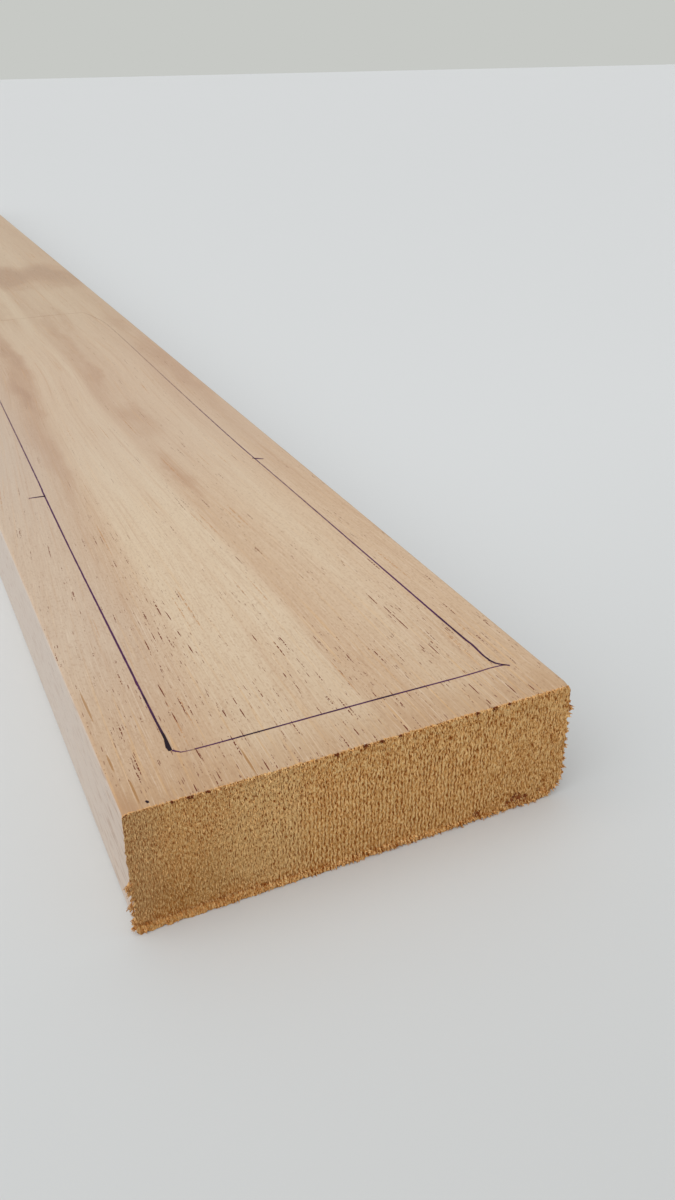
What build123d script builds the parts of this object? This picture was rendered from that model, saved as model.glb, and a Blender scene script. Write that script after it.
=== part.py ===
import os
from math import cos, radians, sin, tan

from build123d import *

# Guitar neck blank: one plank of Spanish cedar, planed on its faces and long edges, with one end left
# as the saw cut it. It lies on its underside. +X runs along the grain towards the rough-sawn end, +Y is
# the right-hand edge and +Z is up. The origin is the middle of the underside. Sizes are in millimetres
# and angles in degrees.

# The planed plank
blank_length = 1000.0
blank_width = 100.0
blank_thickness = 30.0
arris_radius = 0.8

# The rough saw cut, a little out of square both ways: its right-hand corner and its upper edge are
# the longest
cut_skew = 0.3
cut_lean = 0.4

# The lower right-hand corner of the cut, broken away where the blade came out
break_size = 6.5
break_length = 12.0

# Tufts of torn fibre that stand out of the two long edges, right at the cut
tuft_pitch = 2.0
tuft_height = 1.6
tuft_depth = 1.3
tuft_droop = 0.5
tuft_root = 0.4
right_reach = 1.1
left_reach = 1.2
sound_edge = 5.5
left_tear_height = 12.0

# The lip of torn fibre along the lower edge of the cut, tallest on the left
lip_height = 2.4
lip_proud = 0.5
lip_end_height = 1.0
lip_end_proud = 0.2

half_length = blank_length / 2
half_width = blank_width / 2

# The saw's plane goes through the longest corner, and faces along the grain
saw_normal = Vector(cos(radians(cut_skew)), -sin(radians(cut_skew)), -tan(radians(cut_lean)))
saw_plane = Plane(origin=(half_length, half_width, blank_thickness), z_dir=saw_normal)


def cut_at(y, z):
    """How far along X the sawn end lies at a point of it."""
    run = (y - half_width) * saw_normal.Y + (z - blank_thickness) * saw_normal.Z
    return half_length - run / saw_normal.X


def uneven(count, smallest=0.35):
    """Shares from smallest to 1 that vary from tuft to tuft, as torn fibre does."""
    spread = (1 - smallest) / 2
    return [smallest + spread + spread * sin(2.4 * index) for index in range(count)]


def add_tufts(side, highest, lowest, reach):
    """A row of tufts down one long edge: side is 1 for the right-hand edge and -1 for the left."""
    count = int((highest - lowest) / tuft_pitch)
    for index, share in enumerate(uneven(count)):
        height = highest - (index + 0.5) * tuft_pitch
        edge_x = cut_at(side * half_width, height)
        root_at = (edge_x, side * (half_width - tuft_root), height)
        with BuildSketch(Plane(origin=root_at, x_dir=(1, 0, 0), z_dir=(0, side, 0))) as root:
            Rectangle(2 * tuft_depth, tuft_height)
        tip = Vertex(edge_x - tuft_depth / 3, side * (half_width + reach * share), height - tuft_droop)
        loft(sections=[root.sketch.face(), tip])


def break_section():
    """The piece that is missing from the cut's lower right-hand corner: its inner side is an arc."""
    foot = (half_width - break_size, 0)
    top = (half_width, break_size)
    with BuildSketch(Plane.YZ.offset(half_length)) as section:
        with BuildLine():
            RadiusArc(foot, top, -break_size)
            Polyline(top, (half_width + break_size, 0), (half_width, -break_size), foot)
        make_face()
    return section.sketch.face()


def lip_section(y, height, proud):
    """The lip at one place along the cut: it stands proud at its foot and slopes back to the cut."""
    foot_x = cut_at(y, 0)
    with BuildSketch(Plane(origin=(foot_x, y, 0), x_dir=(1, 0, 0), z_dir=(0, -1, 0))) as section:
        with BuildLine():
            Polyline((-tuft_root, 0), (proud, 0), (proud, height / 4), (-tuft_root, height), close=True)
        make_face()
    return section.sketch.face()


with BuildPart() as neck_blank:
    # Planed plank, its long arrises lightly eased
    with BuildSketch(Plane.YZ.offset(-half_length)):
        with Locations((0, blank_thickness / 2)):
            Rectangle(blank_width, blank_thickness)
    extrude(amount=blank_length)
    fillet(neck_blank.edges().filter_by(Axis.X), arris_radius)

    # Torn tufts on the long edges, which the saw cuts off level with the end
    add_tufts(1, blank_thickness - sound_edge, break_size, right_reach)
    add_tufts(-1, left_tear_height, arris_radius, left_reach)
    split(bisect_by=saw_plane, keep=Keep.BOTTOM)

    # Broken corner, widest at the cut and running out to a point on the arris
    break_tip = Vertex(half_length - break_length, half_width, 0)
    loft(sections=[break_section(), break_tip], mode=Mode.SUBTRACT)

    # Torn lip along the lower edge, from the left-hand edge to the broken corner
    left_section = lip_section(arris_radius - half_width, lip_height, lip_proud)
    right_section = lip_section(half_width - break_size, lip_end_height, lip_end_proud)
    loft(sections=[left_section, right_section])
neck_blank.part.label = "neck_blank"

os.makedirs("parts", exist_ok=True)
export_step(neck_blank.part, "parts/neck_blank.step")

box = neck_blank.part.bounding_box()
print("neck blank", [round(size, 2) for size in box.size], "volume", round(neck_blank.part.volume))
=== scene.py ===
# %% [markdown]
# # A guitar neck blank
# A neck blank is the plank that a guitar maker buys: a length of Spanish cedar with its faces and long
# edges planed, and its end left as the saw cut it. A pen outline on the upper face marks the stock.
# The solid model holds its true size. This script dresses it: the torn end, the grain, the pen lines.

from math import cos, pi, radians, sin, tan

import bpy
import numpy as np
from mathutils import Matrix, Vector


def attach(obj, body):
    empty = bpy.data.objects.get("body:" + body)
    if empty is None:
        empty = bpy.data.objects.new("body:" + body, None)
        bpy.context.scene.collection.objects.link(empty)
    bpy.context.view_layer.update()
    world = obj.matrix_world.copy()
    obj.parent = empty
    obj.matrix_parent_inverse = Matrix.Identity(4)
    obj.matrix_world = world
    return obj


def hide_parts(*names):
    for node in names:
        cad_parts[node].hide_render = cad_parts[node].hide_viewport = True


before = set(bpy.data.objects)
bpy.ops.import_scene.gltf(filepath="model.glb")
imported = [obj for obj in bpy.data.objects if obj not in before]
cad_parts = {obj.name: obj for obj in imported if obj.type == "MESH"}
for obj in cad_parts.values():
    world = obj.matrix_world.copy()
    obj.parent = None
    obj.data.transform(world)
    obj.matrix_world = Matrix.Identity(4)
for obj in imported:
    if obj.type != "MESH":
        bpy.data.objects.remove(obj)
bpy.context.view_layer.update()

# %% [markdown]
# ## The plank's own sizes
# The torn fibres stick out past the planed edges, so the box is a little wider than the plank. The plank
# itself is measured on the solid, away from the sawn end. The saw ran a little out of square: seen from
# above the right-hand corner is the longest, and seen from the side the upper edge is.

# %% Measure the plank
MM = 0.001
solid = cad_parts["neck_blank"]
corners = np.array([solid.matrix_world @ v.co for v in solid.data.vertices]) / MM
sound = corners[corners[:, 0] < 0]
FAR_X, NEAR_X = corners[:, 0].min(), corners[:, 0].max()
HALF_WIDTH = sound[:, 1].max()
THICK = sound[:, 2].max()
ARRIS = 0.8
SKEW, LEAN = tan(radians(0.3)), tan(radians(0.4))
print("plank", round(NEAR_X - FAR_X, 1), "x", round(2 * HALF_WIDTH, 1), "x", round(THICK, 1), "mm")


def sawn_x(y, z):
    """How far along X the sawn end lies at y and z, all in millimetres."""
    return NEAR_X + (y - HALF_WIDTH) * SKEW + (z - THICK) * LEAN


# %% [markdown]
# ## The camera
# The photograph was taken by hand from just above the sawn end, looking down the plank. A camera is
# placed the same way: where it stood, the point that it looked at, and a slight roll.

# %% Camera
CAMERA_AT = Vector((647.4, -74.3, 154.1)) * MM
LOOKED_AT = Vector((393.2, 43.2, 0)) * MM
CAMERA_ROLL = radians(-0.56)
LENS = 30.55

bpy.ops.object.camera_add(location=CAMERA_AT)
camera = bpy.context.object
camera.name = "camera"
camera.data.lens = LENS
camera.data.clip_start = 0.01
facing = (LOOKED_AT - CAMERA_AT).to_track_quat("-Z", "Y").to_matrix()
camera.rotation_euler = (facing @ Matrix.Rotation(CAMERA_ROLL, 3, "Z")).to_euler()
bpy.context.scene.camera = camera
print("camera", round((LOOKED_AT - CAMERA_AT).length / MM), "mm from what it looks at")

# %% [markdown]
# ## Helpers for modelling
# An operator works on whatever is selected, and the loaded solid comes in selected. So each step first
# deselects everything, and then picks edges by their place. A mesh can't be read in edit mode, so the
# picking is done in object mode. The noise is smooth, and the same every time, because its seed is fixed.

# %% Picking and moving
def only(piece):
    """Select this object alone and make it the active one."""
    bpy.ops.object.select_all(action="DESELECT")
    piece.select_set(True)
    bpy.context.view_layer.objects.active = piece


def numbers_of(items, name, width=1, kind=float):
    """One property of many vertices, edges, faces or corners, as an array."""
    flat = np.empty(len(items) * width, kind)
    items.foreach_get(name, flat)
    return flat.reshape(-1, width) if width > 1 else flat


def points_of(piece):
    """The piece's vertices as rows of x, y and z in millimetres."""
    return numbers_of(piece.data.vertices, "co", 3) / MM


def move_points(piece, points):
    """Put the piece's vertices at these places, in millimetres."""
    piece.data.vertices.foreach_set("co", (points * MM).ravel())
    piece.data.update()


def keep(piece, name, values):
    """Store one number for each vertex of the piece, for its material to read."""
    piece.data.attributes.new(name, "FLOAT", "POINT").data.foreach_set("value", values.astype(np.float32))


# %% Noise
LATTICE = np.random.default_rng(5).uniform(-1, 1, (24, 256, 96))


def lumps(points, size, seed=0.0):
    """Smooth noise from -1 to 1 at each point, in lumps of the given size along X, Y and Z."""
    spots = points / np.array(size) + seed
    low = np.floor(spots).astype(int)
    share = spots - low
    share = share * share * (3 - 2 * share)
    total = 0
    for corner in np.ndindex(2, 2, 2):
        at = (low + corner) % LATTICE.shape
        total = total + np.where(corner, share, 1 - share).prod(1) * LATTICE[at[:, 0], at[:, 1], at[:, 2]]
    return total


def ramp(values, low, high):
    """0 at low and 1 at high, straight between and flat outside."""
    return np.clip((values - low) / (high - low), 0, 1)


print("noise lattice of", LATTICE.size, "numbers")

# %% [markdown]
# ## Blocking out the plank
# The plank starts as a cube at the plank's size. Bisecting it puts rings of edges where the shape changes:
# beside each long arris, so that it can be rounded, and near the sawn end, where the fibres are torn. The
# faces in the middle of the plank stay large, because they are flat. Only the last twelve millimetres
# get fine faces: an eighth of a millimetre across the plank, about as wide as one bundle of fibres.

# %% The plank as a cube, bisected
TEAR_START = 12.0
# Along the torn end: where each stretch starts and stops, back from the cut, and its parts
COLLAR = [(TEAR_START, 6.0, 4), (6.0, 2.4, 6), (2.4, 0.0, 8)]
SECTION = 250.0

bpy.ops.object.select_all(action="DESELECT")
middle = Vector(((FAR_X + NEAR_X) / 2, 0, THICK / 2))
size = Vector((NEAR_X - FAR_X, 2 * HALF_WIDTH, THICK))
bpy.ops.mesh.primitive_cube_add(size=1, location=middle * MM, scale=size * MM)
plank = bpy.context.object
plank.name = "planed_and_sawn_plank"
bpy.ops.object.transform_apply(location=True, rotation=True, scale=True)


def bisect(piece, place, normal):
    """Cut a ring of edges into the piece where this plane meets it."""
    only(piece)
    bpy.ops.object.mode_set(mode="EDIT")
    bpy.ops.mesh.select_all(action="SELECT")
    bpy.ops.mesh.bisect(plane_co=Vector(place) * MM, plane_no=normal)
    bpy.ops.object.mode_set(mode="OBJECT")


for inset in (ARRIS, ARRIS * (1 - sin(pi / 6)), ARRIS * (1 - cos(pi / 6))):
    for side in (1, -1):
        bisect(plank, (0, side * (HALF_WIDTH - inset), 0), (0, 1, 0))
        bisect(plank, (0, 0, THICK / 2 + side * (THICK / 2 - inset)), (0, 0, 1))
for place in (-SECTION, 0, SECTION, NEAR_X - 30, *[NEAR_X - row[0] for row in COLLAR]):
    bisect(plank, (place, 0, 0), (1, 0, 0))
print("bisected plank has", len(plank.data.polygons), "faces")

# %% Subdivide towards the end
# Into how many parts, and each of those again
ACROSS = (41, 18)
UPRIGHT = (11, 6)


def subdivide(piece, axis, low, high, parts):
    """Divide the edges near the sawn end that run along an axis, between low and high."""
    places = points_of(piece)
    ends = numbers_of(piece.data.edges, "vertices", 2, np.int32)
    first, second = places[ends[:, 0]], places[ends[:, 1]]
    least, most = np.minimum(first, second), np.maximum(first, second)
    picked = (most - least)[:, axis] > 0.99 * np.linalg.norm(most - least, axis=1)
    picked &= (least[:, axis] > low - 0.01) & (most[:, axis] < high + 0.01)
    picked &= least[:, 0] > NEAR_X - TEAR_START - 0.01
    only(piece)
    piece.data.vertices.foreach_set("select", np.zeros(len(places), bool))
    piece.data.polygons.foreach_set("select", np.zeros(len(piece.data.polygons), bool))
    piece.data.edges.foreach_set("select", picked)
    bpy.ops.object.mode_set(mode="EDIT")
    bpy.ops.mesh.subdivide(number_cuts=parts - 1)
    bpy.ops.object.mode_set(mode="OBJECT")


bpy.context.scene.tool_settings.mesh_select_mode = (False, True, False)
for parts in ACROSS:
    subdivide(plank, 1, ARRIS - HALF_WIDTH, HALF_WIDTH - ARRIS, parts)
for parts in UPRIGHT:
    subdivide(plank, 2, ARRIS, THICK - ARRIS, parts)
for start, stop, parts in COLLAR:
    subdivide(plank, 0, NEAR_X - start, NEAR_X - stop, parts)
print("plank has", len(plank.data.vertices), "vertices and", len(plank.data.polygons), "faces")

# %% [markdown]
# ## A flat map of the plank
# A game engine or a viewer can't run the shader below: it needs the colours painted on a picture. The map
# says which part of the picture each face gets. The plank is ten times as long as it is wide, so each long
# side is laid down in four sections. The sawn end has the finest detail, so it gets the most pixels
# to a millimetre.

# %% The plank's map
PICTURE = 1024
GAP = 4
# For the way a long side faces: its lowest row of pixels, the step up to its other two sections, and how
# many pixels a millimetre gets across the side
LONG_SIDES = {(2, 1): (4, 205, 2.0), (1, -1): (416, 64, 2.0)}
LONG_SIDES |= {(1, 1): (544, 64, 2.0), (2, -1): (674, 114, 1.1)}
# For the way an end faces: its left and lowest pixels, and how many a millimetre gets across and up
ENDS = {(0, 1): (4, 906, 5.0, 3.8), (0, -1): (512, 906, 2.0, 2.0)}


def lay_flat(piece, places):
    """Store where each face corner lies on the flat picture, from 0 to 1 both ways."""
    piece.data.uv_layers.new(name="OFBake").data.foreach_set("uv", np.asarray(places, np.float32).ravel())


def corner_rows(piece):
    """The number of the vertex and of the face that each face corner belongs to."""
    vertex = numbers_of(piece.data.loops, "vertex_index", kind=np.int32)
    total = numbers_of(piece.data.polygons, "loop_total", kind=np.int32)
    return vertex, np.repeat(np.arange(len(total)), total)


vertex, face = corner_rows(plank)
places = points_of(plank)[vertex]
middles = numbers_of(plank.data.polygons, "center", 3)[face] / MM
normals = numbers_of(plank.data.polygons, "normal", 3)[face]
laid = np.zeros((len(face), 2))
section = np.clip((middles[:, 0] - FAR_X) // SECTION, 0, 3)
for (axis, sign), (down, step, scale) in LONG_SIDES.items():
    here = normals[:, axis] * sign > 0.9
    high = places[:, 1] + HALF_WIDTH if axis == 2 else places[:, 2]
    u = GAP + (PICTURE / 2 - GAP) * (section % 2) + 2.0 * (places[:, 0] - FAR_X - section * SECTION)
    v = down + step * (section // 2) + scale * high
    laid[here] = np.column_stack([u, v])[here]
for (axis, sign), (left, down, scale_y, scale_z) in ENDS.items():
    here = normals[:, axis] * sign > 0.9
    u = left + scale_y * (places[:, 1] + HALF_WIDTH)
    v = down + scale_z * places[:, 2]
    laid[here] = np.column_stack([u, v])[here]
lay_flat(plank, laid / PICTURE)
print("laid", int((laid.sum(1) > 0).sum()), "of", len(laid), "face corners on the map")

# %% [markdown]
# ## Shaping the sawn end
# Saw teeth tear soft cedar. They leave its end woolly, chip the upper edge, push a lip of fibre out along
# the lower edge and break the far corner away. Sculpting by hand would do for one plank, but it can't be
# repeated or changed. Here each fault is a movement of the fine faces, worked out from smooth noise. How
# high each point stands, and where the wood is chipped, is kept on the mesh for the material to read.

# %% Round the long edges and the broken corner
BREAK, BREAK_LENGTH = 6.5, 12.0
WORN, WORN_LENGTH = 1.5, 5.0

x, y, z = points_of(plank).T
behind = NEAR_X - x
on_end = behind < 0.01


def round_off(y, z, radius, side):
    """Move points that lie in the square corner of an edge onto the arc of that radius."""
    centre_y, centre_z = side[0] * (HALF_WIDTH - radius), THICK / 2 + side[1] * (THICK / 2 - radius)
    out_y, out_z = (y - centre_y) * side[0], (z - centre_z) * side[1]
    far = np.maximum(np.hypot(out_y, out_z), 1e-9)
    moved = (out_y > 0) & (out_z > 0) & (far > radius)
    share = np.where(moved, radius / far, 1)
    y = np.where(moved, centre_y + (y - centre_y) * share, y)
    z = np.where(moved, centre_z + (z - centre_z) * share, z)
    return y, z


for side in ((1, 1), (-1, 1), (-1, -1), (1, -1)):
    y, z = round_off(y, z, np.full(len(y), ARRIS), side)
y, z = round_off(y, z, np.maximum(BREAK * (1 - behind / BREAK_LENGTH), ARRIS), (1, -1))
y, z = round_off(y, z, np.maximum(WORN * (1 - behind / WORN_LENGTH), ARRIS), (1, 1))
print("the corner is broken away", BREAK, "mm deep and", BREAK_LENGTH, "mm back")

# %% How the end is torn
FURROW = 0.14
LIP_HEIGHT, LIP_PROUD = 2.4, 0.7
# The middle and the reach of each hollow beside the broken corner
HOLLOWS = [(38.4, 2.3, 1.8), (40.6, 1.8, 1.0), (35.9, 1.7, 0.9), (27.9, 1.6, 1.0), (44.6, 2.6, 0.8)]
# The middle, the width and the depth of each chip in the upper edge
CHIPS = [(0.0, 0.9, 1.0), (30.4, 0.9, 1.0), (34.1, 0.3, 0.5), (26.1, 0.3, 0.4), (-36.9, 0.9, 0.5)]
CHIPS += [(-33.3, 0.3, 0.5), (-40.4, 0.3, 0.4), (8.0, 0.4, 0.3), (3.5, 0.6, 0.4), (-6.4, 0.5, 0.4)]

flat = np.stack([y * 0, y, z], 1)
relief = np.clip(0.9 * lumps(flat, (1, 0.27, 0.6), 11.3) + 0.6 * lumps(flat, (1, 0.9, 1.4), 5.1), -1, 1)
upper = ramp(THICK - z, 1.2, 0)
chipped = np.zeros(len(x))
for chip_y, chip_width, chip_depth in CHIPS:
    chipped = np.maximum(chipped, chip_depth * np.clip(1 - ((y - chip_y) / chip_width) ** 2, 0, 1))
crumbled = 0.42 + 0.5 * np.clip(1 - ((y + 2) / 13) ** 2, 0, 1)
chipped = np.maximum(chipped, crumbled * ramp(lumps(flat, (1, 0.4, 9), 71.3), 0.0, 0.4))
hollow = np.zeros(len(x))
for hollow_y, hollow_z, hollow_size in HOLLOWS:
    away = np.hypot(y - hollow_y, z - hollow_z) / hollow_size + 0.3 * lumps(flat, (1, 0.5, 0.5), 77.7)
    hollow = np.maximum(hollow, ramp(away, 1.0, 0.5) * on_end)
left_share = ramp(y, HALF_WIDTH - BREAK, -HALF_WIDTH)
lip_height = LIP_HEIGHT * (0.4 + 0.6 * left_share) * (1 + 0.35 * lumps(flat * (1, 1, 0), (1, 2.2, 1), 41.1))
lip = LIP_PROUD * (0.35 + 0.65 * left_share) * np.sqrt(np.clip(1 - z / lip_height, 0, 1))
lip = lip * (1 + 0.6 * lumps(flat, (1, 0.9, 0.8), 47.3))
print("deepest hollow", round(0.5 * hollow.max(), 2), "mm, lip up to", round(lip.max(), 2), "mm proud")

# %% Move the points
shift = FURROW * relief + 0.1 * lumps(flat, (1, 14, 9), 31.7) - 0.6 * chipped * upper - 0.5 * hollow + lip
slope = (sawn_x(y, z) - NEAR_X) * ramp(behind, TEAR_START, 0)
x = np.where(on_end, sawn_x(y, z) + shift, x + slope)

# The edges of the cut: ragged along the sides and below, nearly crisp above
torn = ramp(behind, 1.4, 0)
ragged = lumps(np.stack([x, y, z], 1), (0.9, 0.7, 0.8), 53.9)
side_edge = ramp(np.abs(y), HALF_WIDTH - 0.9, HALF_WIDTH) * ramp(z, 27, 22) * torn
y = y + np.sign(y) * side_edge * (0.1 + 0.5 * ragged)
z = z - upper * torn * (0.08 + 0.15 * lumps(flat, (1, 0.8, 1), 59.3) + 0.6 * chipped)
z = np.maximum(z + ramp(z, 0.8, 0) * torn * (0.1 + 0.25 * ragged), 0)
move_points(plank, np.stack([x, y, z], 1))
# The relief lets the sawn finish go a little lighter where the end stands higher: painted shade in its
# furrows
keep(plank, "relief", np.where(on_end, relief, 0.3))
# The chip marks let the materials paint shade into the chips and hollows
keep(plank, "chipped", np.where(on_end, np.maximum(chipped * upper, hollow), 0))
low, high = x[on_end].min(), x[on_end].max()
print("sawn end has", int(on_end.sum()), "points, from x", low.round(2), "to", high.round(2), "mm")

# %% [markdown]
# ## Torn fibres
# All over the end the fibres stand up in small slivers, and along the edges of the cut they hang out in
# tufts, where the teeth left the wood. Hair particles would be too thin and even for that. One sliver is
# modelled instead: a three-sided cone, cut in two and made widest there. Thousands are needed, and an
# object for each would be slow, so the sliver's points are repeated by arithmetic, each time with another
# place, direction and size.

# %% One sliver
bpy.ops.object.select_all(action="DESELECT")
bpy.ops.mesh.primitive_cone_add(vertices=3, radius1=0.5 * MM, radius2=0.14 * MM, depth=1 * MM)
sliver = bpy.context.object
bisect(sliver, (0, 0, 0), (0, 0, 1))
shape = points_of(sliver) + (0, 0, 0.5)
shape[np.abs(shape[:, 2] - 0.5) < 0.01, :2] *= 1.35
sliver_faces = [list(face.vertices) for face in sliver.data.polygons]
bpy.data.objects.remove(sliver)
print("one sliver has", len(shape), "points and", len(sliver_faces), "faces")

# %% Random numbers, and rows of slivers
chance = np.random.default_rng(11)


def some(count, low=0.0, high=1.0):
    """Seeded random numbers between low and high."""
    return chance.uniform(low, high, count)


def unit(vectors):
    """The vectors with their length made 1."""
    return vectors / np.linalg.norm(vectors, axis=1)[:, None]


def slivers(root, heading, length, width, tone):
    """A group of slivers as rows: root, heading, length, width and tone."""
    return np.column_stack([root, unit(heading), length, width, tone])


# %% Slivers all over the end
def on_the_end(count):
    """Slivers that hang straight down at the middle and lean every way at the left."""
    y, z = some(count, -49.6, 49.8), some(count, 0.8, 29.9)
    inside = np.hypot(np.maximum(y - HALF_WIDTH + BREAK, 0), np.maximum(BREAK - z, 0)) < BREAK - 0.3
    y, z = y[inside], z[inside]
    columned = ramp(y, -20, -8) * ramp(y, 46, 24)
    lean = 0.3 * ramp(y, 18, 40) + (0.8 - 0.5 * columned) * some(len(y), -1, 1)
    heading = np.column_stack([some(len(y), 0.1, 0.4), lean, -np.ones(len(y))])
    root = np.column_stack([sawn_x(y, z) - 0.1, y, z])
    tone = 0.55 + (0.2 + 0.25 * ramp(y, -46, -14)) * some(len(y), -1, 1)
    return slivers(root, heading, some(len(y), 0.5, 1.0), some(len(y), 0.12, 0.24), tone)


groups = [on_the_end(9000)]
print("slivers on the end:", len(groups[0]))


# %% Tufts on the long edges
def tuft(high, reach, droop, count, side):
    """A tuft that hangs out of a long edge of the cut: its slivers draw together towards the tip."""
    y, z = np.full(count, side * (HALF_WIDTH - 0.5)), high + reach * some(count, -0.8, 0.8)
    root = np.column_stack([sawn_x(y, z) + some(count, -1.5, 0.1), y, z])
    tip = np.array([NEAR_X - 0.4, side * (HALF_WIDTH + reach), high + droop * reach])
    heading = tip + 0.22 * reach * some((count, 3), -1, 1) - root
    length = np.linalg.norm(heading, axis=1) * some(count, 0.75, 1.05)
    return slivers(root, heading, length, some(count, 0.3, 0.5), some(count, 0.05, 0.8))


RIGHT_TUFTS = [(24.0, 1.5), (22.0, 1.0), (25.6, 0.6), (19.6, 0.8), (17.6, 1.1), (15.4, 0.7), (13.4, 1.0)]
RIGHT_TUFTS += [(11.4, 0.6), (9.8, 1.0), (7.6, 1.1), (5.8, 0.7)]
LEFT_TUFTS = [(12.3, 1.3), (10.8, 1.0), (9.0, 0.5), (7.0, 1.1), (5.2, 0.6), (3.4, 0.9), (1.6, 0.9)]
groups += [tuft(high, reach, -0.55, 26, 1) for high, reach in RIGHT_TUFTS]
groups += [tuft(high, reach, -0.3, 22, -1) for high, reach in LEFT_TUFTS]
print("tufts:", len(RIGHT_TUFTS), "on the right and", len(LEFT_TUFTS), "on the left")

# %% Fibres along the upper edge, pale outside its chips and painted dark in them, as shade
count = 900
y = some(count, -49.0, 49.2)
y = y[np.abs(y[:, None] - np.array([chip[0] for chip in CHIPS])).min(1) > 0.5]
count = len(y)
root = np.column_stack([sawn_x(y, THICK) - some(count, 0, 0.4), y, THICK - some(count, 0.05, 0.5)])
heading = np.column_stack([some(count, 0.1, 0.9), some(count, -0.8, 0.8), some(count, -0.6, 0.2)])
groups.append(slivers(root, heading, some(count, 0.3, 0.7), some(count, 0.16, 0.28), some(count, 0.2, 1.0)))
IN_CHIP = 12
for chip_y, chip_width, chip_depth in CHIPS:
    y = chip_y + chip_width * some(IN_CHIP, -0.7, 0.7)
    x = sawn_x(y, THICK) - some(IN_CHIP, -0.05, 0.4 * chip_depth)
    root = np.column_stack([x, y, THICK - some(IN_CHIP, 0.1, 0.5)])
    heading = np.column_stack([some(IN_CHIP, 0, 0.6), some(IN_CHIP, -1, 1), some(IN_CHIP, -0.5, 0.1)])
    length, width = some(IN_CHIP, 0.3, 0.6), some(IN_CHIP, 0.2, 0.35)
    # A tone below 0 paints these fibres dark, as shade in the chip
    groups.append(slivers(root, heading, length, width, np.full(IN_CHIP, -0.5)))
print("fibres along the upper edge:", count)

# %% The fringe along the lower edge
count = 900
y = some(count, -49.6, 43.5)
y = y[np.abs(y[:, None] - np.array([hollow[0] for hollow in HOLLOWS])).min(1) > 0.5]
count = len(y)
z = some(count, 0.15, 1.0) * LIP_HEIGHT * (0.45 + 0.55 * ramp(y, 43, -50))
root = np.column_stack([sawn_x(y, z) + some(count, -0.1, 0.35), y, z])
heading = np.column_stack([some(count, 0.5, 1.0), some(count, -0.9, 0.9), some(count, -0.75, 0.2)])
groups.append(slivers(root, heading, some(count, 0.5, 1.2), some(count, 0.22, 0.4), some(count, 0.2, 0.95)))
print("fibres along the lower edge:", count)

# %% Fibres round the broken corner, and the nib that is left below it
count = 260
turn = some(count, 0, pi / 2)
y, z = HALF_WIDTH - BREAK + (BREAK - 0.3) * np.sin(turn), BREAK - (BREAK - 0.3) * np.cos(turn)
root = np.column_stack([sawn_x(y, z) - some(count, 0, 1.5), y, z])
out, down = np.sin(turn) + some(count, -0.4, 0.4), -np.cos(turn) + some(count, -0.5, 0.3)
heading = np.column_stack([some(count, 0.1, 0.7), out, down])
groups.append(slivers(root, heading, some(count, 0.5, 1.4), some(count, 0.26, 0.46), some(count, 0.1, 0.8)))
count = 60
root = np.column_stack([NEAR_X + some(count, -1.6, 0.1), some(count, 44.4, 46.4), some(count, 1.6, 3.4)])
heading = np.array([NEAR_X - 0.3, 47.0, 0.9]) + 0.3 * some((count, 3), -1, 1) - root
length = np.linalg.norm(heading, axis=1) * some(count, 0.7, 1.05)
groups.append(slivers(root, heading, length, some(count, 0.35, 0.6), some(count, 0.2, 0.9)))
rows = np.concatenate(groups)
print("slivers:", len(rows))

# %% Repeat the sliver
root, heading, length, width, tone = rows[:, :3], rows[:, 3:6], rows[:, 6], rows[:, 7], rows[:, 8]
sideways = unit(np.cross(heading, some((len(rows), 3), -1, 1)))
upwards = np.cross(heading, sideways)
rise = shape[:, 2]
placed = root[:, None] + heading[:, None] * (length[:, None] * rise)[:, :, None]
placed += sideways[:, None] * (width[:, None] * shape[:, 0])[:, :, None]
placed += upwards[:, None] * (width[:, None] * shape[:, 1] + 0.2 * length[:, None] * rise**2)[:, :, None]
placed = placed.reshape(-1, 3)
placed[:, 2] = np.clip(placed[:, 2], 0.0, THICK - 0.02)
steps = range(0, len(placed), len(shape))
faces = [[corner + step for corner in face] for step in steps for face in sliver_faces]
torn_mesh = bpy.data.meshes.new("torn_fibres")
torn_mesh.from_pydata((placed * MM).tolist(), [], faces)
torn_fibres = bpy.data.objects.new("torn_fibres", torn_mesh)
bpy.context.collection.objects.link(torn_fibres)
keep(torn_fibres, "tone", np.repeat(tone, len(shape)))
vertex, face = corner_rows(torn_fibres)
lay_flat(torn_fibres, np.column_stack([(placed[vertex, 1] + 53) / 106, placed[vertex, 2] / 31 + 0.01]))
print("torn fibres have", len(faces), "faces")

# %% [markdown]
# ## The pen outline
# Someone drew the neck's rough outline on the upper face with a violet pen: two long lines, a line across
# at each end, a short tick beside each long line, and a dot near the corner. Ink lies on wood, so each
# line is a strip less than a tenth of a millimetre thick. It starts as a grid, and its rows are moved
# onto the line. Along each line the width and the strength of the ink change, as with a real pen.

# %% Where the pen went
# Where each line goes on the upper face: x, y, width and strength of the ink
LEFT_LINE = [(106, -27.6, 0.35, 0.35), (180, -29.3, 0.35, 0.4), (254, -31, 0.38, 0.45)]
LEFT_LINE += [(328, -32.9, 0.4, 0.55), (342, -33.4, 0.45, 0.65), (388, -34.5, 0.36, 0.7)]
LEFT_LINE += [(448, -35.5, 0.4, 0.9), (474, -35.9, 0.4, 1), (480, -35.9, 0.55, 1.1)]
LEFT_LINE += [(483.2, -36.2, 0.95, 1.2), (484.6, -36.1, 0.65, 1.2)]
RIGHT_LINE = [(102, 33.2, 0.4, 0.2), (116, 36, 0.4, 0.2), (140, 38, 0.4, 0.22), (250, 37.2, 0.4, 0.35)]
RIGHT_LINE += [(320, 37, 0.4, 0.48), (368, 37.7, 0.4, 0.46), (427, 38.5, 0.42, 0.64), (469, 39.1, 0.45, 1)]
RIGHT_LINE += [(476, 39.4, 0.45, 1), (481.8, 39.2, 0.4, 1), (485.3, 39.9, 0.5, 1), (487.5, 42.3, 0.35, 0.9)]
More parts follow.
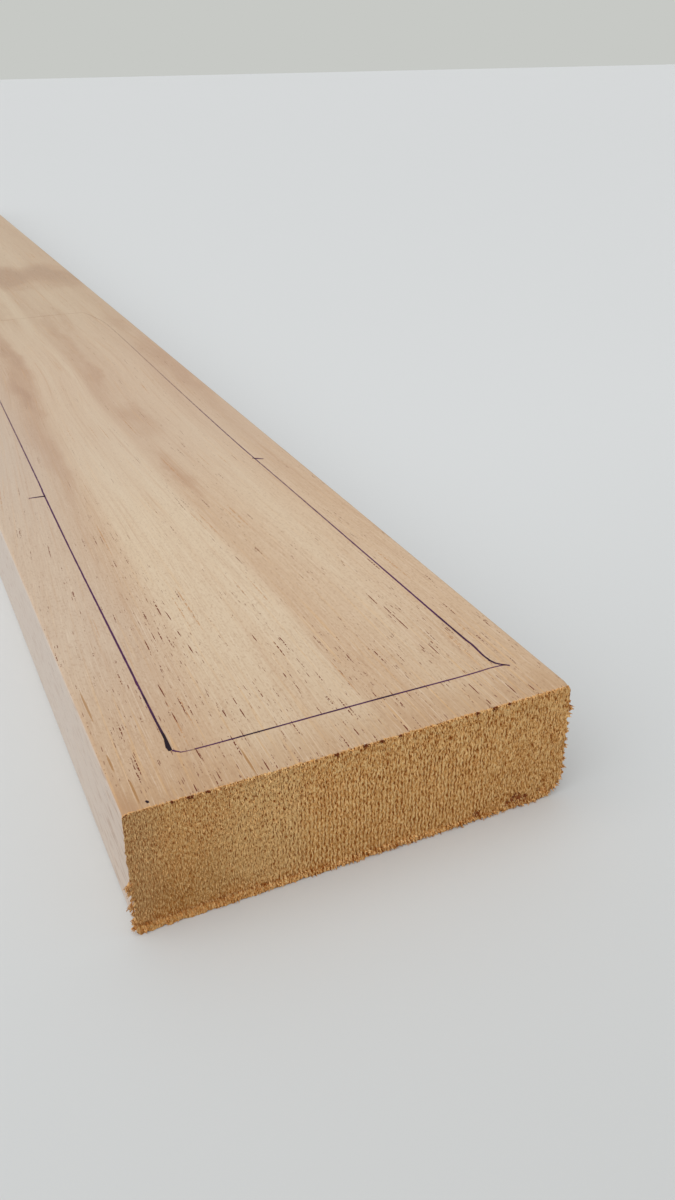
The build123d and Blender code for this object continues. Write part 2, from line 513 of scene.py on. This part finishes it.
NEAR_LINE = [(484.7, -35.8, 0.35, 0.9), (486, -34.4, 0.25, 0.7), (486.2, -31.5, 0.2, 0.25)]
NEAR_LINE += [(486.3, -28, 0.3, 0.9), (486.4, 6, 0.36, 1), (486.7, 30.5, 0.33, 0.9)]
NEAR_LINE += [(486.5, 38, 0.25, 0.8), (486.8, 41.4, 0.3, 0.8)]
FAR_LINE = [(106, -27.6, 0.4, 0.3), (101.5, -24, 0.35, 0.24), (100, 0, 0.35, 0.2), (100.4, 26, 0.35, 0.2)]
FAR_LINE += [(102, 33.2, 0.4, 0.2)]
LEFT_TICK = [(341.4, -38.2, 0.4, 0.8), (341.6, -35.5, 0.7, 1), (341.9, -33.2, 0.8, 1)]
RIGHT_TICK = [(339.6, 36.6, 0.4, 0.7), (340.8, 38, 0.8, 0.9), (342, 39.8, 0.4, 0.7)]
DOT = [(497.4, -44.8, 0.25, 1.1), (497.8, -44.6, 0.5, 1.2), (498.2, -44.5, 0.3, 1.1)]
PEN_LINES = [LEFT_LINE, RIGHT_LINE, NEAR_LINE, FAR_LINE, LEFT_TICK, RIGHT_TICK, DOT]
print("pen lines:", len(PEN_LINES))


# %% A smooth line through a few stops
def smooth_path(stops, spacing):
    """Rows of x, y, width and ink along a smooth line through the stops."""
    stops = np.array(stops, float)
    padded = np.concatenate([[2 * stops[0] - stops[1]], stops, [2 * stops[-1] - stops[-2]]])
    rows = []
    for before, first, second, after in zip(padded, padded[1:], padded[2:], padded[3:]):
        gap = np.linalg.norm((second - first)[:2])
        share = np.linspace(0, 1, max(int(gap / spacing), 1) + 1)[:-1, None]
        bend = (second - before) * share + (2 * before - 5 * first + 4 * second - after) * share**2
        rows.append(first + 0.5 * (bend + (3 * first - before - 3 * second + after) * share**3))
    return np.concatenate([*rows, stops[-1:]])


# %% One strip of ink
INK_TOP, INK_BOTTOM = 0.04, -0.04


def pen_line(stops, row):
    """One strip of ink, which gets a band of its own on the flat picture."""
    path = smooth_path(stops, 1.2 if len(stops) > 3 else 0.3)
    bpy.ops.object.select_all(action="DESELECT")
    bpy.ops.mesh.primitive_grid_add(x_subdivisions=len(path) - 1, y_subdivisions=4, size=1 * MM)
    strip = bpy.context.object
    grid = points_of(strip)
    along = (grid[:, 0] + 0.5) * (len(path) - 1)
    step = np.gradient(path[:, :2], axis=0)
    columns = np.column_stack([path, unit(np.column_stack([-step[:, 1], step[:, 0]]))])
    x, y, width, ink, out_x, out_y = [np.interp(along, np.arange(len(path)), column) for column in columns.T]
    width = width * (1 + 0.12 * lumps(np.column_stack([x, y, y]), (2.3, 2.3, 9), 7.7)) + 0.16
    placed = np.column_stack([x, y, 0 * x + THICK + INK_TOP])
    placed[:, :2] += np.column_stack([out_x, out_y]) * (grid[:, 1] * width)[:, None]
    move_points(strip, placed)
    keep(strip, "ink", ink * (1 + 0.15 * lumps(placed, (3.1, 3.1, 9), 9.1)))
    keep(strip, "rim", np.abs(grid[:, 1]) * 2)
    vertex, face = corner_rows(strip)
    band = (row + 0.5 + 0.8 * grid[vertex, 1]) / len(PEN_LINES)
    lay_flat(strip, np.column_stack([grid[vertex, 0] * 0.98 + 0.5, band]))
    bpy.ops.object.modifier_add(type="SOLIDIFY")
    strip.modifiers[0].thickness = (INK_TOP - INK_BOTTOM) * MM
    strip.modifiers[0].offset = -1
    bpy.ops.object.modifier_apply(modifier=strip.modifiers[0].name)
    return strip


# %% All pen lines in one piece
strips = [pen_line(stops, row) for row, stops in enumerate(PEN_LINES)]
only(strips[0])
for strip in strips:
    strip.select_set(True)
bpy.ops.object.join()
pen_outline = bpy.context.object
pen_outline.name = "pen_outline"
print("pen outline has", len(pen_outline.data.polygons), "faces")

# %% [markdown]
# ## Shader maths as expressions
# A material is a graph of nodes. Written out node by node it is long and hard to follow, so a small class
# wraps a socket: sums on it add Math nodes, and one method adds any other node. Lengths in the materials
# are in millimetres, like those above.


# %% The class that wraps a socket
class Wire:
    """A socket of a material. Sums on it add Math nodes, and add() puts in any other node."""

    def __init__(self, tree, socket=None):
        self.tree, self.socket = tree, socket

    def add(self, kind, settings=None, sockets=None, out=0):
        """Add a node: its settings first, then the values or links of its sockets. Gives one output."""
        node = self.tree.nodes.new(kind)
        for name, value in (settings or {}).items():
            if name == "stops":
                elements = node.color_ramp.elements
                while len(elements) < len(value):
                    elements.new(0.5)
                for element, (place, tone) in zip(elements, value):
                    element.position, element.color = place, (tone, tone, tone, 1)
            else:
                setattr(node, name, value)
        for name, value in (sockets or {}).items():
            if isinstance(value, Wire):
                self.tree.links.new(value.socket, node.inputs[name])
            else:
                node.inputs[name].default_value = value
        return Wire(self.tree, node.outputs[out])

    def maths(self, operation, *values):
        return self.add("ShaderNodeMath", {"operation": operation}, dict(enumerate(values)))

    def __add__(self, other):
        return self.maths("ADD", self, other)

    def __sub__(self, other):
        return self.maths("SUBTRACT", self, other)

    def __rsub__(self, other):
        return self.maths("SUBTRACT", other, self)

    def __mul__(self, other):
        return self.maths("MULTIPLY", self, other)

    __radd__ = __add__
    __rmul__ = __mul__


# %% Values and colours
def ease(value, low, high):
    """0 up to low, 1 from high on, and smooth between. With low above high it falls instead."""
    ends = {"Value": value, "From Min": low, "From Max": high}
    return value.add("ShaderNodeMapRange", {"interpolation_type": "SMOOTHSTEP"}, ends)


def rgb(red, green, blue):
    """A colour as it looks on screen, from 0 to 255, made the linear colour that a shader takes."""
    shares = [part / 255 for part in (red, green, blue)]
    linear = [s / 12.92 if s <= 0.04045 else ((s + 0.055) / 1.055) ** 2.4 for s in shares]
    return (*linear, 1)


def mixed(share, first, second):
    """The first colour, turned into the second by a share from 0 to 1."""
    ends = {0: share, 6: first, 7: second}
    return share.add("ShaderNodeMix", {"data_type": "RGBA"}, ends, out=2)


# %% Points of the surface
def vector(operation, *values, out=0):
    """A Vector Math node. Its first value is a wire."""
    return values[0].add("ShaderNodeVectorMath", {"operation": operation}, dict(enumerate(values)), out=out)


def part_of(point, axis):
    """One coordinate of a point."""
    return point.add("ShaderNodeSeparateXYZ", None, {0: point}, out=axis)


def cloud(point, size, seed=0.0, detail=2.0, roughness=0.5):
    """Noise around 0.5, in lumps of the given size along X, Y and Z."""
    placed = vector("MULTIPLY_ADD", point, tuple(1 / length for length in size), (seed, seed, seed))
    sockets = {"Vector": placed, "Scale": 1.0, "Detail": detail, "Roughness": roughness}
    return point.add("ShaderNodeTexNoise", {"noise_dimensions": "3D"}, sockets)


def stored(point, name):
    """A number that is stored on the mesh."""
    return point.add("ShaderNodeAttribute", {"attribute_name": name}, out=2)


# %% A material and its sockets
def new_finish(name):
    """A new material with its shader, and the point of the surface in millimetres."""
    material = bpy.data.materials.new(name)
    material.use_nodes = True
    place = Wire(material.node_tree).add("ShaderNodeTexCoord", out=3)
    point = vector("MULTIPLY", place, (1 / MM, 1 / MM, 1 / MM))
    return material, material.node_tree.nodes["Principled BSDF"], point


def plug(shader, sockets):
    """Link wires to the shader's sockets, or set them."""
    for name, value in sockets.items():
        if isinstance(value, Wire):
            value.tree.links.new(value.socket, shader.inputs[name])
        else:
            shader.inputs[name].default_value = value


def bump(height, distance, strength=1.0):
    """A normal that leans as if the height were there. The distance is in millimetres."""
    sockets = {"Strength": strength, "Distance": distance * MM, "Height": height}
    return height.add("ShaderNodeBump", None, sockets)


# %% [markdown]
# ## Planed cedar: bands and figure
# Spanish cedar is a pale pinkish tan. On this plank broad soft bands run along the grain, cream between
# pinkish brown, and they draw together towards the far end. All of it follows one bent coordinate, the
# lane, so that bands, fibres and pores turn together. It is a solid texture, read from the place of each
# point, so the bands run over the edge and down the side as they do in wood. A wrapped picture would show
# a join there.

# %% The lane, and soft patches
def lane_of(point):
    """The point with its Y turned into the lane: 0 where the darkest band begins. The grain follows it."""
    x, y = part_of(point, 0), part_of(point, 1)
    edge = 8.3 - 5.3 * ease(x, 470, 290) + 3.2 * ease(x, 275, 195) - 2.2 * ease(x, 190, 120)
    wander = 5.0 * cloud(point, (160, 120, 60), 2.3, detail=1.0) - 2.5
    off = y - edge + wander
    low = off.maths("MINIMUM", off, 0.0) * (1 + 0.85 * ease(x, 470, 150))
    lane = off.maths("MAXIMUM", off, 0.0) + low
    return x.add("ShaderNodeCombineXYZ", None, {"X": x, "Y": lane, "Z": part_of(point, 2)})


def spot(point, centre, reach):
    """A soft patch: 1 at its centre, 0 from its reach on."""
    away = vector("DIVIDE", vector("SUBTRACT", point, centre), reach)
    return ease(vector("LENGTH", away, out=1), 1.0, 0.1)


# %% Bands and figure
CREAM, TAN, ROSE = rgb(217, 194, 164), rgb(208, 179, 147), rgb(187, 148, 113)
# The pale grey and the faded colour are painted sheen; the warm one near the cut is the other end of it
DEEP, PAINTED_SHEEN_GREY = rgb(166, 120, 84), rgb(203, 188, 172)
FAR_PAINTED_SHEEN, WARM = rgb(192, 176, 144), rgb(184, 146, 106)
LANE_SPAN = 120
# The lane, and how brown the wood is there
BANDS = [(-58, 0.55), (-50, 0.6), (-46, 0.66), (-40, 0.68), (-36, 0.55), (-32, 0.3), (-28, 0.12), (-20, 0.04)]
BANDS += [(-12, 0.2), (-8, 0.02), (-4, 0.0), (-1, 0.15), (2, 0.54), (6, 0.48), (14, 0.36), (20, 0.22)]
BANDS += [(26, 0.25), (31, 0.46), (35, 0.42), (40, 0.55)]
# The x, y, reach both ways and strength of each darker patch
FIGURE = [(282, 14, 34, 8, 0.35), (345, 10, 45, 4, 0.35), (228, -21, 46, 4.5, 0.55), (215, 12, 32, 4.5, 0.4)]
FIGURE += [(235, 46, 60, 7, 0.3), (188, 45, 40, 8, 0.35), (300, -25, 60, 6, 0.3), (140, 12, 70, 4.5, 0.4)]
FIGURE += [(170, -15, 70, 6, 0.5), (110, 21, 50, 5, 0.3), (130, 43, 30, 5, 0.4), (-20, 33, 44, 16, 0.8)]
FIGURE += [(8, 45, 44, 14, 0.5), (-12, 11, 44, 17, 1.2), (-4, 25, 46, 40, 0.6), (90, -6, 60, 7, 0.4)]


def bands_and_figure(point, grain):
    """The wood's broad colour: cream, tan and rosy brown, painted sheen far off, warmer near the cut."""
    x, y = part_of(point, 0), part_of(point, 1)
    lane = part_of(grain, 1) * (1 / LANE_SPAN) + 0.5
    stops = [(place / LANE_SPAN + 0.5, tone) for place, tone in BANDS]
    tone = lane.add("ShaderNodeValToRGB", {"stops": stops}, {0: lane})
    tone = tone + 0.5 * cloud(grain, (110, 5, 9), 4.4, detail=3.0) - 0.25
    tone = tone + 0.3 * ease(x, 400, 220)
    swirl = point.add("ShaderNodeTexNoise", None, {"Vector": point, "Scale": 0.05}, out=1)
    warped = vector("MULTIPLY_ADD", swirl, (30, 12, 30), vector("SUBTRACT", point, (15, 6, 15)))
    for centre_x, centre_y, reach_x, reach_y, strength in FIGURE:
        tone = tone + strength * spot(warped, (centre_x, centre_y, THICK), (reach_x, reach_y, 60))
    colour = mixed(ease(tone, 0.0, 0.5), CREAM, TAN)
    colour = mixed(ease(tone, 0.4, 1.15), colour, ROSE)
    colour = mixed(ease(tone, 1.0, 1.9), colour, DEEP)
    # Painted sheen: paler and greyer away from the cut and at the left near it, and warmer near the cut
    painted_sheen = 0.4 * ease(y, -18, -40) * ease(x, 505, 430) + 0.25 * ease(x, 400, 300)
    colour = mixed(painted_sheen, colour, PAINTED_SHEEN_GREY)
    colour = mixed(0.25 * ease(x, 240, 60), colour, FAR_PAINTED_SHEEN)
    return mixed(0.3 * ease(x, 430, 505) + 0.35 * ease(x, 486, 498), colour, WARM)


# %% [markdown]
# ## Planed cedar: fibres and pores
# Close to, planed cedar is streaked by its fibres, and pitted by pores: short dark dashes, a fifth to a
# third of a millimetre wide, in loose rows. Each kind of dash is one cell pattern stretched along the
# grain, with a mark in only some of its cells. The few strongest marks of this plank are put in by place.
# The fine marks fade a little further back.

# %% Fibres
UMBER, HONEY, HAIRLINE = rgb(158, 116, 82), rgb(218, 172, 112), rgb(238, 220, 196)


def nearness(point):
    """How strong fine marks are: 1 near the sawn end, and less further back."""
    return ease(part_of(point, 0), 300, 440) * 0.6 + 0.4


def fibres(point, grain, colour):
    """The colour with its streaks and fibres, and the fibres alone."""
    fibre = cloud(grain, (8, 0.36, 0.4), 6.6, detail=3.0, roughness=0.65)
    streak = cloud(grain, (60, 1.2, 1.8), 9.9, detail=2.0)
    fleck = cloud(point, (1.0, 0.5, 0.6), 3.3, detail=2.0)
    near = nearness(point)
    colour = mixed(ease(streak, 0.52, 0.8) * 0.4, colour, ROSE)
    yellow = ease(cloud(grain, (40, 0.9, 1.6), 31.3, detail=2.0), 0.55, 0.75)
    colour = mixed(yellow * (0.15 + 0.3 * ease(part_of(point, 0), 420, 490)), colour, HONEY)
    colour = mixed(ease(fibre, 0.5, 0.8) * near * 0.34, colour, UMBER)
    colour = mixed(ease(fibre, 0.48, 0.25) * near * 0.28, colour, HAIRLINE)
    return mixed(ease(fleck, 0.48, 0.75) * near * 0.3, colour, UMBER), fibre


# %% Pores
OCHRE, RESIN, PORE = rgb(184, 128, 72), rgb(164, 116, 60), rgb(112, 48, 10)
# The x, y and half length of the strongest dark dashes and of the golden ones
DASHES = [(495.5, 37.4, 4.5), (492, 30.0, 4.5), (497.5, 30.2, 2), (469, -5, 2), (451, -5.3, 3)]
DASHES += [(478.5, -18.6, 3.5), (432, -20.6, 4), (441, -20.8, 3), (449, -20.5, 4), (477, -22.1, 3)]
DASHES += [(495, 0.1, 2.5), (488, -31.4, 4), (463, -31.6, 5), (474, -32, 4), (460, 29.4, 6)]
DASHES += [(474, 30.4, 5), (446, 28.4, 6)]
GOLDEN = [(494.5, -23.3, 6.5), (493.8, -46, 6), (483.4, -48, 4.8), (461.9, -47.8, 9.5)]


def pores(grain, length, width, share, seed):
    """Scattered dashes along the grain, 1 inside and 0 outside: at most one in each cell."""
    placed = vector("MULTIPLY_ADD", grain, (1 / length, 1 / width, 1 / width), (seed, seed, seed))
    cells = {"voronoi_dimensions": "3D", "feature": "F1"}
    distance = grain.add("ShaderNodeTexVoronoi", cells, {"Vector": placed, "Scale": 1.0})
    tint = Wire(grain.tree, distance.socket.node.outputs["Color"])
    first = tint.add("ShaderNodeSeparateColor", None, {0: tint}, out=0)
    second = tint.add("ShaderNodeSeparateColor", None, {0: tint}, out=1)
    beads = ease(cloud(grain, (0.6, 0.5, 0.5), seed, detail=0.0), 0.4, 0.5)
    inside = ease(distance - (0.12 + 0.16 * second), 0.04, -0.04) * beads
    return inside * ease(first + share, 1.0, 1.02)


def dashes(point, places, width):
    """The dashes at these places, frayed along their edges."""
    most, *others = [spot(point, (at_x, at_y, THICK), (reach, width, 60)) for at_x, at_y, reach in places]
    for other in others:
        most = most.maths("MAXIMUM", most, other)
    return most * cloud(point, (0.8, 0.16, 0.4), 17.9)


def pitted(point, grain, colour):
    """The colour with its golden streaks, pale hairlines and pores, and the pores alone."""
    x, near = part_of(point, 0), nearness(point)
    dense = spot(point, (440, -24, THICK), (130, 11, 60)) + 0.7 * spot(point, (474, 32, THICK), (80, 7, 60))
    dense = dense + 0.5 * ease(x, 440, 496)
    crowd = ease(cloud(grain, (50, 2.2, 5), 12.7, detail=1.0) + 0.25 * dense, 0.5, 0.68)
    long_pores = pores(grain, 15.0, 0.66, crowd * 0.5 + 0.01, 0.37)
    short_pores = pores(grain, 4.4, 0.46, crowd * 0.75 + 0.02, 5.21)
    pore = long_pores.maths("MAXIMUM", long_pores, short_pores * 0.7) * near
    pore = pore.maths("MAXIMUM", pore, ease(dashes(point, DASHES, 0.25), 0.2, 0.32))
    hairline = ease(cloud(grain, (34, 0.32, 0.4), 2.87, detail=1.0), 0.6, 0.78) * near
    ochre_line = pores(grain, 46.0, 1.0, 0.14 + 0.2 * ease(x, 440, 490), 9.63)
    colour = mixed(ochre_line * 0.6, colour, OCHRE)
    colour = mixed(ease(dashes(point, GOLDEN, 0.36), 0.05, 0.3) * 0.85, colour, RESIN)
    colour = mixed(hairline * (0.12 + 0.2 * crowd), colour, HAIRLINE)
    return mixed(pore, colour, PORE), pore


# %% [markdown]
# ## Planed cedar: the edges
# The long edges are painted paler and greyer than the upper face, as sheen seen at a grazing angle, with
# brown streaks near the cut. The left-hand corner is tinged with amber, which there also stands in for the
# shade of the rounded corner. Crumbs of torn wood lie along the cut, and the chips are painted dark brown as
# shade.

# %% Edges, and the planed finish
AMBER_AND_CORNER_SHADE, SIDE_PAINTED_SHEEN = rgb(176, 134, 96), rgb(212, 202, 194)
GOLD, CHIP_SHADE_BROWN = rgb(218, 162, 95), rgb(112, 54, 24)


def chipped_away(point):
    """The chips and hollows, with ragged rims."""
    return stored(point, "chipped") + 1.4 * cloud(point, (0.4, 0.35, 0.3), 29.4) - 0.7


def edges(point, grain, colour):
    """The colour with its amber corner, painted corner shade, painted side sheen, crumbs and painted chip
    shade.
    """
    x, y = part_of(point, 0), part_of(point, 1)
    # Amber along the left edge, strongest at the corner, where it is painted shade of the rounded corner
    corner = spot(point, (NEAR_X, -HALF_WIDTH, THICK), (9, 8, 60))
    amber_and_corner_shade = ease(y, -46.5, -49.5) * ease(x, 420, 495) * 0.7 + corner
    side = ease(y.maths("ABSOLUTE", y), 49.72, 49.95)
    colour = mixed(ease(amber_and_corner_shade, 0, 1) * (1 - side) * (0.35 + 0.3 * corner), colour, AMBER_AND_CORNER_SHADE)
    mottled = ease(cloud(grain, (7, 0.9, 1.3), 25.1, detail=3.0), 0.5, 0.75)
    # The long sides are painted paler and greyer: painted sheen, as seen at a grazing angle
    colour = mixed(side * 0.62, colour, SIDE_PAINTED_SHEEN)
    colour = mixed(side * mottled * (0.25 + 0.35 * ease(x, 440, 500)), colour, UMBER)
    crumbs = NEAR_X - (HALF_WIDTH - y) * SKEW - x + 1.6 * cloud(point, (0.6, 0.5, 0.5), 8.8) - 0.8
    colour = mixed(ease(crumbs, 0.35, 0.1) * 0.75, colour, GOLD)
    # Painted shade: the chips and hollows are coloured dark brown
    return mixed(ease(chipped_away(point), 0.25, 0.6), colour, CHIP_SHADE_BROWN)


def cedar(point):
    """Colour, roughness and height of planed cedar at a point."""
    grain = lane_of(point)
    colour = bands_and_figure(point, grain)
    colour, fibre = fibres(point, grain, colour)
    colour, pore = pitted(point, grain, colour)
    roughness = 0.5 + 0.2 * pore + 0.12 * fibre
    return edges(point, grain, colour), roughness, 0.4 * fibre - 0.5 * pore


planed, shader, point = new_finish("planed_cedar")
colour, roughness, height = cedar(point)
plug(shader, {"Base Color": colour, "Roughness": roughness, "Normal": bump(height, 0.12, 0.6)})
print("planed cedar has", len(planed.node_tree.nodes), "nodes")

# %% [markdown]
# ## Sawn cedar
# Across the grain the same wood is golden brown, because the cut fibres are open tubes that swallow the
# light. It goes orange-brown near the lower edge, where the saw scorched and tore the fibres, and painted
# shade darkens it towards that edge. It is greyer at the left. Over that lie strands, brown between
# straw-coloured fibres: upright and nearly a millimetre apart at the middle, and woolly elsewhere. They are
# too fine for the mesh, so they are colour and bump, and they go a little lighter where the mesh stands
# higher, which paints shade into its furrows. The slivers get the same colours.

# %% The broad colour of the end
SCORCHED, DULL, YELLOWISH, LOWER_SHADE_BROWN = rgb(190, 122, 52), rgb(180, 138, 92), rgb(226, 184, 124), rgb(160, 108, 46)
STRAW, FURROW_BROWN, HOLLOW_SHADE_RED = rgb(244, 204, 144), rgb(136, 68, 6), rgb(140, 64, 30)


def end_tone(point):
    """The broad colour of the sawn end: yellower left of the middle, and painted shade towards the lower
    edge.
    """
    y, z = part_of(point, 1), part_of(point, 2)
    patch = cloud(point, (9, 11, 14), 14.2, detail=2.0)
    bend = 6 * patch - 3
    colour = mixed(ease(y + 0.5 * bend, -11, -17) * 0.65, GOLD, YELLOWISH)
    colour = mixed(ease(y - 0.45 * z + bend, -37, -44) * 0.4, colour, SCORCHED)
    colour = mixed(ease(y + 0.5 * bend, -40, -48) * 0.7, colour, DULL)
    # Painted shade: darker from near the top of the end down to its lower edge
    lower_shade = ease(z + bend, 26, 0) * (0.3 + 0.35 * ease(y, -24, -34) * ease(y, -48, -42))
    colour = mixed(lower_shade, colour, LOWER_SHADE_BROWN)
    low = ease(z + 6 * cloud(point, (5, 4, 3), 16.8), 8.5, 3)
    colour = mixed(low * (0.1 + 0.5 * ease(y, -5, -20)), colour, SCORCHED)
    lip_top = 1.9 - 1.3 * ease(y, -40, 20) + 0.5 * cloud(point, (3, 1.6, 3), 27.2)
    left_half = ease(y, 20, -10) * ease(part_of(point, 0), 0, 100)
    colour = mixed(ease(z - lip_top, 0.2, -0.1) * left_half * 0.7, colour, GOLD)
    seam = ease((z - lip_top).maths("ABSOLUTE", z - lip_top), 0.45, 0.1)
    return mixed(seam * left_half * 0.55, colour, FURROW_BROWN)


# %% Strands
STRAND = 0.88


def torn_grain(point):
    """How light a fibre is, round 0: strands nearly a millimetre apart, broken up along their length."""
    y, z = part_of(point, 1), part_of(point, 2)
    middle = ease(y, -30, -14) * ease(y, 46, 24) * ease(z, 32, 18)
    wander = (cloud(point, (2, 1.6, 1.8), 5.1, detail=1.0) - 0.5) * (5.0 - 3.5 * middle)
    turn = (y * (1 / STRAND) + wander) * (2 * pi)
    woolly = cloud(point, (1, 0.24, 0.9), 18.5, detail=2.0, roughness=0.65) - 0.5
    return (0.1 + 0.22 * middle) * turn.maths("COSINE", turn) + (4.0 - 0.5 * middle) * woolly


def torn_colour(point, extra):
    """Brown between the fibres, golden on them and straw-coloured on the lightest."""
    y, z = part_of(point, 1), part_of(point, 2)
    light = torn_grain(point) + extra
    contrast = (0.75 + 0.45 * ease(y, -46, -14)) * (0.9 + 0.25 * ease(z, 10, 26))
    colour = mixed(ease(light, -0.08, -0.7) * contrast, end_tone(point), FURROW_BROWN)
    return mixed(ease(light, -0.05, 0.55) * contrast * 0.9, colour, STRAW), light


# %% The end's finish, and the slivers'
sawn, shader, point = new_finish("sawn_cedar")
# Lighter where the mesh stands higher: painted shade in the furrows
colour, light = torn_colour(point, 0.1 * stored(point, "relief"))
# Painted shade in the chips and hollows: red-brown low down, dark brown higher up
chip_shade = mixed(ease(part_of(point, 2), 8, 20), HOLLOW_SHADE_RED, CHIP_SHADE_BROWN)
colour = mixed(ease(chipped_away(point), 0.15, 0.4) * 0.85, colour, chip_shade)
plug(shader, {"Base Color": colour, "Roughness": 0.85, "Specular IOR Level": 0.12})
plug(shader, {"Normal": bump(light, 0.25, 0.8)})
print("sawn cedar has", len(sawn.node_tree.nodes), "nodes")

fibrous, shader, point = new_finish("torn_cedar_fibre")
tone_wire = stored(point, "tone")
colour, light = torn_colour(point, 0.5 * tone_wire - 0.25)
# Slivers in the chips are painted dark, as shade
colour = mixed(ease(tone_wire, 0.0, -0.3), colour, CHIP_SHADE_BROWN)
plug(shader, {"Base Color": colour, "Roughness": 0.8, "Specular IOR Level": 0.12})
print("torn cedar fibre has", len(fibrous.node_tree.nodes), "nodes")

# %% [markdown]
# ## Ink
# Ballpoint ink soaks into the wood a little, so its rim is softer than its middle, and where the pen
# pressed lightly the wood shows through. The ink is the same cedar, mixed with dark violet.

# %% Ink
VIOLET, BLACK_VIOLET = rgb(76, 30, 76), rgb(28, 9, 24)

ink, shader, point = new_finish("violet_ink")
pressed, rim = stored(point, "ink"), stored(point, "rim")
colour, roughness, height = cedar(point)
grainy = cloud(lane_of(point), (1.5, 0.25, 0.5), 21.1)
skipped = 0.3 * ease(grainy, 0.45, 0.75)
strength = ease(pressed * (1.35 - ease(rim, 0.5, 1.0)) - skipped, 0.0, 0.75)
dark = mixed(ease(pressed, 0.85, 1.15), VIOLET, BLACK_VIOLET)
plug(shader, {"Base Color": mixed(strength, colour, dark), "Roughness": 0.6, "Specular IOR Level": 0.2})
print("violet ink has", len(ink.node_tree.nodes), "nodes")

# %% [markdown]
# ## Which face gets which finish
# One mesh can hold several materials. The sawn finish goes on the faces that look along the grain, and on
# the torn underside of the cut, and the planed finish on all others. Each piece then says that it moves
# with the plank. The dressed plank takes the place of the solid.

# %% Give the faces their finish
plank.data.materials.append(planed)
plank.data.materials.append(sawn)
middles = numbers_of(plank.data.polygons, "center", 3) / MM
normals = numbers_of(plank.data.polygons, "normal", 3)
at_end = (normals[:, 0] > 0.5) & (middles[:, 0] > NEAR_X - 3)
at_end |= (middles[:, 0] > NEAR_X - 1.3) & (middles[:, 2] < 1.0)
at_end |= normals[:, 0] < -0.9
curved = (np.abs(normals).max(1) < 0.9999) | (middles[:, 0] > NEAR_X - 2)
plank.data.polygons.foreach_set("material_index", at_end.astype(np.int32))
plank.data.polygons.foreach_set("use_smooth", curved)
torn_fibres.data.materials.append(fibrous)
pen_outline.data.materials.append(ink)
for piece in (plank, torn_fibres, pen_outline):
    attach(piece, "root")
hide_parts("neck_blank")
print("sawn faces:", int(at_end.sum()), "of", len(at_end))

# %% [markdown]
# ## The floor and the light
# The plank lies on a plain pale surface, with a painted shadow that makes it a little darker towards the
# camera. The light is even and soft: a pale sky all round, and a broad sun from the upper left and a little
# in front, so that the shadow is weak and falls to the right.

# %% Floor
bpy.ops.object.select_all(action="DESELECT")
bpy.ops.mesh.primitive_plane_add(size=10)
floor = bpy.context.object
floor.name = "floor"
paper, shader, point = new_finish("pale_floor")
# The nearer colour is a painted shadow on the floor towards the camera
FLOOR_FAR, FLOOR_NEAR_PAINTED_SHADOW = rgb(219, 221, 221), rgb(190, 191, 189)
floor_and_painted_shadow = mixed(ease(part_of(point, 0), 250, 950), FLOOR_FAR, FLOOR_NEAR_PAINTED_SHADOW)
plug(shader, {"Base Color": floor_and_painted_shadow, "Roughness": 0.5, "Specular IOR Level": 0.3})
floor.data.materials.append(paper)
print("floor", round(floor.dimensions.x), "m wide")

# %% Sky and sun
sky = bpy.data.worlds.new("soft_sky")
sky.use_nodes = True
bpy.context.scene.world = sky
seen = Wire(sky.node_tree).add("ShaderNodeLightPath", out=0)
sky_colour = mixed(seen, (0.98, 0.99, 1.0, 1), rgb(199, 201, 197))
plug(sky.node_tree.nodes["Background"], {"Color": sky_colour, "Strength": seen * 0.4 + 0.6})

bpy.ops.object.light_add(type="SUN", rotation=(radians(32), radians(16), 0))
sun = bpy.context.object
sun.name = "broad_sun"
sun.data.energy = 1.5
sun.data.angle = radians(80)
print("sun strength", sun.data.energy)

bpy.context.scene.view_settings.view_transform = "Standard"
